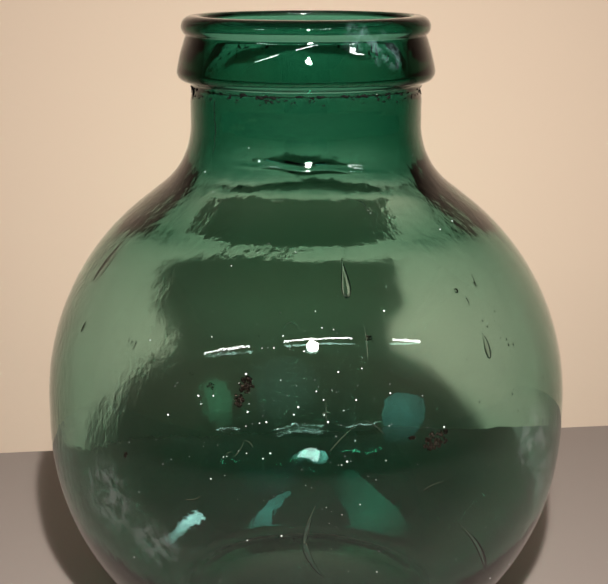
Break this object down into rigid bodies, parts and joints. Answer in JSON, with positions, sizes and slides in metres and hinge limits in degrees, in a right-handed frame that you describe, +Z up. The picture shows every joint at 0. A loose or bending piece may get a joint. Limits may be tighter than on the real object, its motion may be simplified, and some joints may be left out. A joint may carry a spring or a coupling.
{
  "type": "wide-mouth glass demijohn",
  "caption": "Round green glass demijohn with a short wide neck and an applied collar at its open mouth, for storing or fermenting food and drink.",
  "frame": {"origin": "centre of the standing ring, on the surface that the jar stands on", "axes": "+Z up along the jar's axis of revolution; X and Y are free, because the jar is round"},
  "size_m": [0.28, 0.28, 0.33],
  "materials": {
    "green_glass": "clear hand-blown glass, glossy and slightly rippled"
  },
  "bodies": {
    "root": {"jar_body": "green_glass", "lip_collar": "green_glass"}
  },
  "joints": []
}
